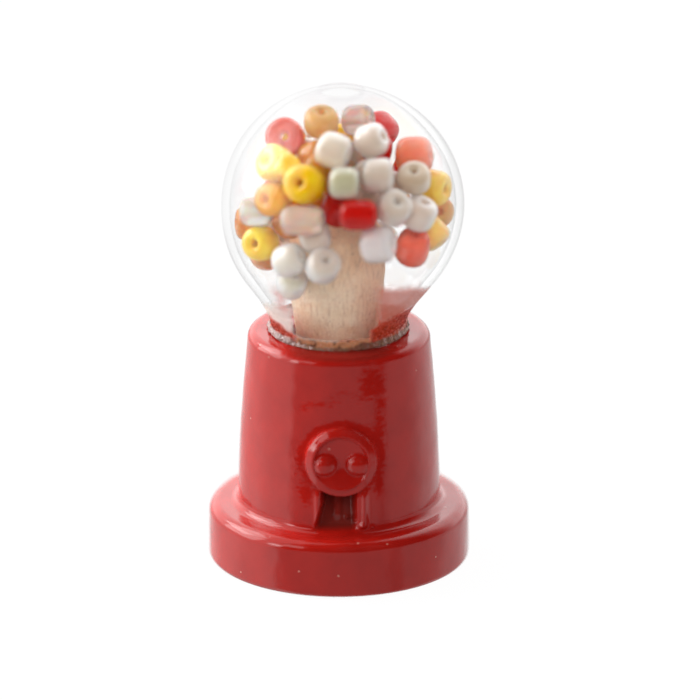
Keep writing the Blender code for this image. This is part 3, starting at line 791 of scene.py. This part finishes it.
def build_glue():
    """Glue round the neck: a gritty lip, thin in front, that climbs the glass at the sides."""
    cols, around = 30, 420
    points = []
    for i in range(around):
        turn = math.tau * i / around
        sine, cosine = math.sin(turn), math.cos(turn)
        swell = 1 + 0.30 * noise.noise(Vector((sine * 7, cosine * 7, 2.0)))
        swell += 0.25 * noise.noise(Vector((sine * 19, cosine * 19, 5.0)))
        # `ahead` is 0 at the sides and behind. Its sign puts 1 at the back, whose points lie at
        # -cosine, and `right` adds a little more glue at the right.
        ahead = max(0.0, -cosine)
        side = float(rise(abs(sine - 0.07), 0.45, 0.85))
        right = float(rise(sine, 0.12, 0.42))
        wide = (0.06 + 0.20 * (1 - ahead**3) + 0.06 * right) * swell
        tall = (0.13 + 0.30 * side + 0.20 * right) * swell
        for j in range(cols):
            bend = math.tau * j / cols
            up = 0.5 + 0.5 * math.sin(bend)
            out = 0.5 + 0.5 * math.cos(bend)
            z = NECK_Z + up * tall
            # Wide at its foot, a thin film above.
            radius = float(neck_radius(z)) + 0.03 + out * (0.06 + wide * (1 - up) ** 1.6)
            point = Vector((sine * radius, cosine * radius, z))
            rough = 0.05 * noise.noise(point * 5.0) + 0.045 * noise.noise(point * 11.0)
            radius += rough * out
            z += rough * up
            x, y = globe_offset(z) + sine * radius, -cosine * radius
            points.append((x, y, max(z, NECK_Z - 0.03)))
    faces = ring_faces(around, cols, close_rows=True)
    stand_in(mesh_object("glue_bead", points, faces, GLUE), "glue_ring")


def smear_colours(x, y, z, turn):
    """Colour and thickness of the smears over a grid on the front of the neck.

    The pink at the right, the pink blush at the left and the red low down are painted refraction:
    the red casting seen through the glass.
    """
    scarlet, deep = np.array((0.74, 0.075, 0.028)), np.array((0.50, 0.025, 0.012))
    rose, milk = np.array((0.70, 0.245, 0.185)), np.array((1.0, 0.98, 0.96))
    tinge, gold = np.array((0.85, 0.42, 0.40)), np.array((0.50, 0.27, 0.15))
    # Heights along the slant that the smears follow, and the slanting tops of the red.
    slant = z + 0.368 * y
    over_right = slant - 0.60 * (x - 1.9)
    over_left = 0.80 * (x + 4.12)
    ragged = 0.16 * grid_ripple(x, y, 2.5 * z, size=0.9, seed=9)
    ragged += 0.07 * grid_ripple(x, y, z, size=0.28, seed=10)
    red = rise(x + ragged, 1.75, 2.15) * fall(over_right + ragged, 14.45, 14.80)
    red += fall(x + ragged, -2.75, -2.35) * fall(slant + ragged + over_left, 15.20, 15.55)
    red = np.clip(red, 0, 1)
    pink = rise(x + 0.7 * ragged, 2.10, 2.75) * fall(slant + 0.9 * ragged, 17.0, 17.6)
    pink *= rise(over_right, 14.3, 14.8)
    pale = fall(x + ragged, -3.3, -2.6) * rise(slant + over_left, 15.0, 15.5)
    pale *= fall(slant + ragged, 15.9, 16.5)
    blush = hump(
        x + 0.45 * (slant - 16.9) + ragged, slant, at_x=-3.75, at_z=16.75, wide=0.34, tall=0.75,
    ) * (x < -2.4)
    amber = fall(z + 0.5 * ragged, 15.28, 15.52) * fall(abs(x + ragged), 2.5, 3.0)
    dark = rise(grid_ripple(x, y, z, size=0.24, seed=12), 0.0, 0.5)[..., None]
    thick = np.max((0.95 * red, 0.90 * amber, 0.72 * pink, 0.93 * pale, 0.42 * blush), axis=0)
    thick = np.clip(thick, 0, 1) * fall(np.abs(turn), math.radians(76), math.radians(92))
    red, amber = red[..., None], amber[..., None]
    soft = milk + (tinge - milk) * np.clip(1.4 * blush, 0, 1)[..., None]
    colour = np.where(x[..., None] > 0, rose, soft)
    colour = colour + (scarlet + (deep - scarlet) * dark - colour) * red
    colour += (gold * (1.3 - 0.95 * dark) - colour) * amber * (1 - red)
    return np.concatenate((colour, thick[..., None]), axis=-1)


def build_smears():
    """Thin glue dragged over the neck: pale at the left, pink at the right, red low down. The pink
    and the red are painted refraction, the red casting seen through the glass.
    """
    levels = np.linspace(NECK_Z + 0.06, 19.9, 88)
    turn, z = np.meshgrid(np.radians(np.linspace(-94, 94, 210)), levels)
    sphere = np.sqrt(np.maximum(SHELL_R**2 - (GLOBE_Z - z) ** 2, 0))
    radius = np.where(z < NECK_JOIN, neck_radius(z), sphere)
    off = np.interp(z, levels, [globe_offset(level) for level in levels])

    def skin(out):
        return off + (radius + out) * np.sin(turn), -(radius + out) * np.cos(turn), z

    colours = smear_colours(*skin(0), turn)
    thick = colours[..., 3]
    outer = np.stack(skin(0.016 + 0.018 * thick), axis=-1).reshape(-1, 3)
    inner = np.stack(skin(0.006), axis=-1).reshape(-1, 3)
    colours, thick = colours.reshape(-1, 4), thick.reshape(-1)
    rows, cols = z.shape
    count = rows * cols
    faces = []
    for i in range(rows - 1):
        for j in range(cols - 1):
            start = i * cols + j
            quad = (start, start + 1, start + cols + 1, start + cols)
            # Only where there is glue.
            if max(thick[list(quad)]) > 0.02:
                faces += [quad, tuple(corner + count for corner in quad[::-1])]
    # Edges met once are the borders, which walls close.
    borders = {}
    for face in faces[::2]:
        for a, b in zip(face, face[1:] + face[:1]):
            if (b, a) in borders:
                del borders[(b, a)]
            else:
                borders[(a, b)] = True
    faces += [(b, a, a + count, b + count) for a, b in borders]
    used = sorted({corner for face in faces for corner in face})
    new = {old: number for number, old in enumerate(used)}
    points = np.concatenate((outer, inner))[used]
    faces = [tuple(new[corner] for corner in face) for face in faces]
    smears = mesh_object("glue_smears", points, faces, SMEAR)
    layer = smears.data.attributes.new("smear", "FLOAT_COLOR", "POINT")
    layer.data.foreach_set("color", np.concatenate((colours, colours))[used].reshape(-1))
    stand_in(smears, "glue_ring")


# ================================================================ beads
# Red, green and blue factors for beads paler or deeper than the rest of their colour.
# Some are the bead's own colour; others are painted light: the pale red_01 and yellow_01
# carry painted glare, and red_03 and red_06 a painted glow of backlight.
TINTS_AND_PAINTED_LIGHT = {
    "bead_red_01": (1.1, 20.0, 27.0), "bead_red_02": (1.1, 3.0, 4.0),
    "bead_red_03": (1.17, 26.0, 21.0), "bead_red_04": (1.1, 1.5, 1.4),
    "bead_red_06": (1.17, 16.0, 14.0),
    "bead_orange_01": (0.92, 1.5, 5.0), "bead_orange_02": (1.0, 1.0, 1.1),
    "bead_orange_04": (1.0, 1.2, 0.75), "bead_orange_08": (1.0, 1.3, 3.0),
    "bead_orange_09": (1.0, 1.6, 3.3),
    "bead_pearl_02": (1.1, 1.1, 1.09), "bead_pearl_05": (0.88, 0.84, 0.74),
    "bead_pearl_07": (1.10, 1.06, 1.08), "bead_pearl_08": (1.12, 1.18, 1.2),
    "bead_pearl_09": (1.05, 1.08, 1.1),
    "bead_green_02": (1.3, 1.35, 1.6),
    "bead_crystal_01": (1.0, 0.88, 0.86), "bead_crystal_02": (1.12, 1.2, 1.15),
    "bead_crystal_03": (1.12, 0.88, 0.80),
    "bead_white_01": (1.08, 1.03, 0.99),
    "bead_yellow_01": (1.0, 1.25, 9.0), "bead_yellow_02": (0.92, 0.90, 0.25),
    "bead_yellow_03": (0.9, 0.95, 4.0), "bead_yellow_04": (1.0, 1.1, 2.0),
}


def bead_profile(radius, half):
    """Closed (radius, height) loop of a short tube with full, rounded ends and a flared hole."""
    power = 3.4  # 2 is an ellipse; more is squarer
    hole, flare = 0.20 * radius, 0.24 * radius
    loop = []
    for turn in np.radians(np.linspace(-90, 90, 31)):
        grow = (abs(math.cos(turn)) ** power + abs(math.sin(turn)) ** power) ** (-1 / power)
        out, up = radius * math.cos(turn) * grow, half * math.sin(turn) * grow
        if out > hole + flare:
            loop.append((out, up))
    top = loop[-1][1]
    ends = [
        (hole + flare * (1 - math.sin(turn)), top - flare * (1 - math.cos(turn)))
        for turn in np.linspace(0.15, 1.5, 8)
    ]
    return loop + ends + [(hole, 0.0)] + [(out, -up) for out, up in reversed(ends)]


def bead_points(centre, axis, radius, half, seed, cols=36):
    """Points and faces of one bead, cut a little unevenly."""
    axis = Vector(axis).normalized()
    side = axis.orthogonal().normalized()
    other = axis.cross(side)
    slant_a, slant_b = 0.05 * math.sin(seed * 2.1), 0.05 * math.cos(seed * 3.7)
    points = []
    loop = bead_profile(radius, half)
    for out, up in loop:
        for j in range(cols):
            turn = math.tau * j / cols
            a, b = out * math.cos(turn), out * math.sin(turn)
            tall = up * (1 + slant_a * a / radius) + slant_b * abs(up) / half * b * 0.5
            wobble = 1 + 0.018 * math.sin(2 * turn + seed) + 0.012 * math.sin(3 * turn + 2 * seed)
            point = Vector(centre) + side * (a * wobble) + other * (b * wobble)
            points.append(tuple(point + axis * (tall * 0.985)))
    return points, ring_faces(len(loop), cols, close_rows=True)


def read_bead(node):
    """Centre, hole direction, radius and half length of a bead, from its CAD mesh."""
    mesh = node.data
    corners = np.empty(len(mesh.vertices) * 3)
    mesh.vertices.foreach_get("co", corners)
    world = np.array(node.matrix_world)
    corners = (corners.reshape(-1, 3) @ world[:3, :3].T + world[:3, 3]) / MM
    corners = np.unique(np.round(corners, 4), axis=0)
    centre = corners.mean(axis=0)
    spread, ways = np.linalg.eigh(np.cov((corners - centre).T))
    # Two of the three spreads are alike, across the bead. The odd one out is along the hole.
    odd = 2 if abs(spread[0] - spread[1]) < abs(spread[1] - spread[2]) else 0
    axis = ways[:, odd]
    along = (corners - centre) @ axis
    across = np.linalg.norm(corners - centre - along[:, None] * axis, axis=1)
    return centre, axis, across.max(), abs(along).max()


def build_beads():
    names = sorted(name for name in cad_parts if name.startswith("bead_"))
    for number, name in enumerate(names):
        glass = name.split("_")[1]
        points, faces = bead_points(*read_bead(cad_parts[name]), seed=number)
        bead = mesh_object(f"{name}_fine", points, faces, BEADS[glass])
        bead.color = (*TINTS_AND_PAINTED_LIGHT.get(name, (1, 1, 1)), 1)
        stand_in(bead, name)


def pack_beads():
    """Centres of the hidden beads, packed in the room that their CAD lump holds."""
    pitch, apart, least_apart = 1.98, 1.96, 1.72  # between centres
    margin = 0.85  # wanted depth of a centre under the lump's skin
    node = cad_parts["inner_beads"]
    corners = [node.matrix_world @ vertex.co / MM for vertex in node.data.vertices]
    lump = BVHTree.FromPolygons(corners, [tuple(face.vertices) for face in node.data.polygons])
    low, high = (np.array(corner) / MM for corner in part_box("inner_beads"))

    def depth(point):
        """How deep a point lies under the lump's skin, and the way out."""
        at, out, _, far = lump.find_nearest(Vector(point))
        inside = (at - Vector(point)).dot(out) > 0
        return (far if inside else -far), np.array(out)

    # Start from close-packed layers.
    spots = []
    for k in range(5):
        for j in range(6):
            for i in range(6):
                step = (i + 0.5 * ((j + k) % 2), 0.866 * j + 0.29 * (k % 2), 0.816 * k)
                point = low + 0.4 + pitch * np.array(step)
                if (point < high).all() and depth(point)[0] > 0.35:
                    spots.append(point)
    spots = np.array(spots)
    # Push them apart and in from the skin.
    for _ in range(80):
        for i in range(len(spots)):
            away = spots[i] - np.delete(spots, i, 0)
            far = np.maximum(np.linalg.norm(away, axis=1), 1e-6)
            push = np.maximum(apart - far, 0)[:, None] * away / far[:, None]
            spots[i] += 0.4 * push.sum(axis=0)
            deep, out = depth(spots[i])
            if deep < margin:
                spots[i] -= 0.6 * (margin - deep) * out
    kept = []
    for point in spots:
        # Nothing stands clear above the outer beads at the back.
        hidden = 0.345 * point[1] + 0.9385 * point[2] < 25.4
        clear = all(np.linalg.norm(point - other) > least_apart for other in kept)
        if hidden and clear and depth(point)[0] > 0.7:
            kept.append(point)
    return kept


def build_inner():
    """The hidden beads, in one mesh."""
    mixed = ("pearl", "orange", "pearl", "yellow", "pearl", "red", "pearl", "crystal")
    warm = ("orange", "orange", "yellow")
    points, faces, slots = [], [], []
    for number, centre in enumerate(pack_beads()):
        turn = math.radians(137.5 * number)
        axis = (math.cos(turn), math.sin(turn), math.sin(2.4 * number))
        bead, quads = bead_points(centre, axis, 0.94, 0.84, seed=40 + number, cols=24)
        faces += [tuple(corner + len(points) for corner in quad) for quad in quads]
        # Oranges and yellows lie together at the front left.
        choices = warm if centre[0] < 0.6 and centre[1] < 0.5 else mixed
        slots += [GLASSES.index(choices[number % len(choices)])] * len(quads)
        points += bead
    inner = mesh_object("inner_bead_fill", points, faces, *BEADS.values())
    inner.data.polygons.foreach_set("material_index", slots)
    stand_in(inner, "inner_beads")


build_casting()
build_globe()
build_plug()
build_glue()
build_smears()
build_beads()
build_inner()


# ================================================================ stage, light, camera
def build_stage():
    """A plain pale floor that only the camera sees."""
    s = Shader("pale_floor")
    white = s.node("Emission", Color=(1.0, 1.0, 1.0), Strength=0.97).outputs[0]
    matt = s.node("BsdfDiffuse", Color=(0.05, 0.05, 0.05)).outputs[0]
    both = s.wire(s.node("AddShader"), (0, 1), (white, matt)).outputs[0]
    half, drop = 1500.0, -0.02
    corners = [(x * half, y * half, drop) for x, y in ((-1, -1), (1, -1), (1, 1), (-1, 1))]
    floor = mesh_object("floor", corners, [(0, 1, 2, 3)], s.finish(both), smooth=False)
    floor.visible_glossy = False
    floor.visible_diffuse = False
    floor.visible_transmission = False
    floor.visible_shadow = False


def build_world():
    """Studio: white behind, bright at the left, a grey table in front with a dark room over it."""
    world = bpy.data.worlds.new("studio")
    bpy.context.scene.world = world
    n = Nodes(world)

    def ramp(value, over, to=(0.0, 1.0)):
        return n.remap(value, over, to, interpolation_type="SMOOTHSTEP")

    def blend(fac, a, b):
        """Number a where fac is 0, b where it is 1."""
        return n.wire(n.node("Mix", data_type="FLOAT"), (0, 2, 3), (fac, a, b)).outputs[0]

    direction = n.node("TexCoord").outputs["Generated"]
    x, y, z = n.node("SeparateXYZ", Vector=direction).outputs
    # Degrees round from the front, positive towards +X, and degrees up.
    around = n.times(n.math("ARCTAN2", x, n.times(y, -1.0)), 180 / math.pi)
    up = n.times(n.math("ARCSINE", z), 180 / math.pi)
    path = n.node("LightPath").outputs
    left = ramp(around, over=(-62.0, -51.0), to=(1.0, 0.0))
    right = ramp(around, over=(85.0, 120.0))
    front = n.times(n.math("SUBTRACT", 1.0, left), n.math("SUBTRACT", 1.0, right))
    # A pale table in front, with a dark gap in it, and a dark room above the table's far edge.
    gap = n.times(
        ramp(around, over=(44.0, 50.0)), ramp(around, over=(54.0, 62.0), to=(1.0, 0.0)),
    )
    beyond = ramp(around, over=(54.0, 64.0))
    table = n.plus(n.plus(n.times(gap, -0.15), n.times(beyond, 0.14)), 0.60)
    room = blend(ramp(up, over=(-6.0, 2.0)), table, 0.03)
    # Behind, the lit backdrop is far brighter above the table's edge.
    behind = ramp(n.math("ABSOLUTE", around), over=(105.0, 135.0))
    above = blend(path["Is Diffuse Ray"], 2.5, 1.5)
    backdrop_tone = blend(ramp(up, over=(-6.0, 6.0)), 1.05, above)
    # The left side lights little of what it shines on.
    left_tone = blend(path["Is Diffuse Ray"], 1.5, 0.85)
    side = blend(behind, blend(left, 1.12, left_tone), backdrop_tone)
    overhead = blend(n.math("GREATER_THAN", path["Ray Depth"], 1.5), 0.2, 1.2)
    side = blend(ramp(up, over=(45.0, 75.0)), side, overhead)
    backdrop = n.node("Background", Strength=blend(front, side, room)).outputs[0]
    # The camera sees plain white, and so, nearly, do rays straight through and deep ones.
    plain = n.node("Background", Strength=1.05).outputs[0]
    straight = n.math("LESS_THAN", path["Glossy Depth"], 0.5)
    straight = n.times(path["Is Transmission Ray"], straight)
    clear = n.math("MAXIMUM", straight, n.math("GREATER_THAN", path["Ray Depth"], 6.5))
    seen = n.math("MAXIMUM", path["Is Camera Ray"], n.times(clear, 0.95))
    n.node("OutputWorld", Surface=n.mix_shaders(seen, backdrop, plain))


def area_light(name, around, up, distance, wide, tall, radiance, only=None):
    """A soft box facing the object, at degrees round from the front and up.

    With `only`, it lights just that collection.
    """
    turn, lift = math.radians(around), math.radians(up)
    level = math.cos(lift)
    way = Vector((math.sin(turn) * level, -math.cos(turn) * level, math.sin(lift)))
    data = bpy.data.lights.new(name, "AREA")
    data.shape = "RECTANGLE"
    data.size, data.size_y = wide * MM, tall * MM
    data.energy = radiance * math.pi * wide * MM * tall * MM
    light = bpy.data.objects.new(name, data)
    light.location = way * distance * MM + Vector((0, 0, 0.013))
    light.rotation_euler = way.to_track_quat("Z", "Y").to_euler()
    light.visible_camera = False
    bpy.context.scene.collection.objects.link(light)
    if only:
        light.light_linking.receiver_collection = only
    return light


def soft_fill(around, up, radiance, only=None):
    """A broad, even light that leaves no reflection of its own."""
    light = area_light("fill", around, up, 260, wide=200, tall=200, radiance=radiance, only=only)
    light.visible_glossy = False
    light.visible_transmission = False


def group(name, objects):
    made = bpy.data.collections.new(name)
    for obj in objects:
        made.objects.link(obj)
    return made


def build_lights():
    area_light("high_window", around=-114, up=38, distance=200, wide=130, tall=110, radiance=3.3)
    area_light("low_window", around=-98, up=20, distance=200, wide=150, tall=130, radiance=2.9)
    # Nothing of the two lamps shows on the glass.
    enamelled = group("only_enamel", [bpy.data.objects["pedestal_skin"]])
    area_light(
        "lamp", around=-57, up=13, distance=220, wide=42, tall=72, radiance=5.2, only=enamelled,
    )
    area_light(
        "upper_lamp", around=-43, up=30, distance=220, wide=66, tall=72, radiance=1.9,
        only=enamelled,
    )
    soft_fill(around=24, up=36, radiance=1.8)
    # Bounced light round what the globe holds, which the enamel doesn't see.
    starts = ("bead_", "inner_bead_fill", "neck_plug_body", "glue_smears")
    meshes = [obj for obj in bpy.context.scene.objects if obj.type == "MESH"]
    held = group("inside_globe", [obj for obj in meshes if obj.name.startswith(starts)])
    soft_fill(around=-4, up=30, radiance=1.85, only=held)
    soft_fill(around=118, up=35, radiance=2.0, only=held)
    # Beads of clear glass that carry the bright backdrop's light to the front.
    clear = ("red_03", "red_06", "orange_03", "orange_04", "orange_09", "crystal_02", "crystal_03")
    clear_beads = group("clear_beads", [bpy.data.objects[f"bead_{bead}_fine"] for bead in clear])
    soft_fill(around=10, up=30, radiance=3.6, only=clear_beads)


def build_camera():
    """A long macro lens above level, focused a little behind the front of the casting."""
    up = math.radians(20.2)
    back = Vector((0, -math.cos(up), math.sin(up)))
    aim = Vector((0.68, 0, 13.3)) * MM
    distance, field = 0.9, 43.08 * MM  # metres; field is the width in view
    data = bpy.data.cameras.new("camera")
    data.sensor_width = 36.0
    data.lens = data.sensor_width * distance / field
    data.clip_start, data.clip_end = 0.01, 10.0
    data.dof.use_dof = True
    focus = bpy.data.objects.new("focus", None)
    focus.location = Vector((0, -0.7, 13.3)) * MM
    bpy.context.scene.collection.objects.link(focus)
    data.dof.focus_object = focus
    data.dof.aperture_fstop = data.lens / 38.0  # an opening 38 mm wide
    camera = bpy.data.objects.new("camera", data)
    camera.location = aim + back * distance
    camera.rotation_mode = "QUATERNION"
    camera.rotation_quaternion = (-back).to_track_quat("-Z", "Y")
    bpy.context.scene.collection.objects.link(camera)
    bpy.context.scene.camera = camera


build_stage()
build_world()
build_lights()
build_camera()

scene = bpy.context.scene
scene.view_settings.view_transform = "Standard"
scene.view_settings.look = "None"
scene.cycles.max_bounces = 14
scene.cycles.transmission_bounces = 12
scene.cycles.transparent_max_bounces = 16
scene.cycles.sample_clamp_indirect = 4.0
scene.cycles.caustics_reflective = False
